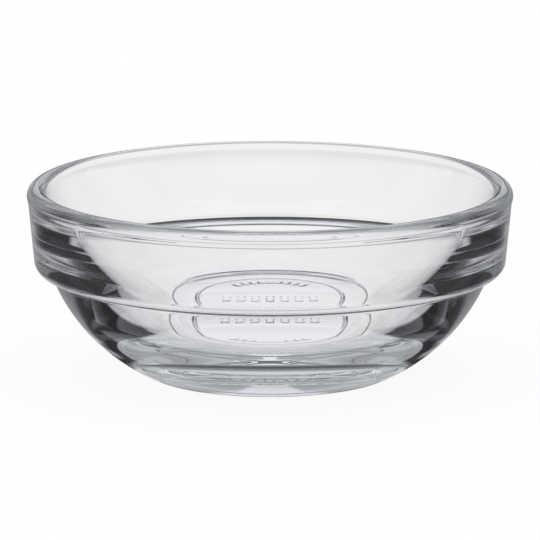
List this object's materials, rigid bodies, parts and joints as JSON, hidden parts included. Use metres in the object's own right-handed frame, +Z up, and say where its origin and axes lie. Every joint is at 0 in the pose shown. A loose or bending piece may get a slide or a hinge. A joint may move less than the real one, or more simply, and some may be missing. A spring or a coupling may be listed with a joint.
{
  "type": "glass bowl",
  "caption": "Small round clear pressed-glass prep bowl with a rounded lip, a tapered stacking band, a stacking ledge, a curved body and a thick flat floor on a narrow standing rim.",
  "frame": {"origin": "middle of the plane that the bowl stands on, under its foot", "axes": "+Z up along the axis of the bowl, towards its mouth; X and Y are alike, because the bowl is round"},
  "size_m": [0.09, 0.09, 0.0353],
  "materials": {
    "clear_glass": "clear, colourless, fire-polished pressed glass"
  },
  "bodies": {
    "root": {"bowl": "clear_glass"}
  },
  "joints": []
}
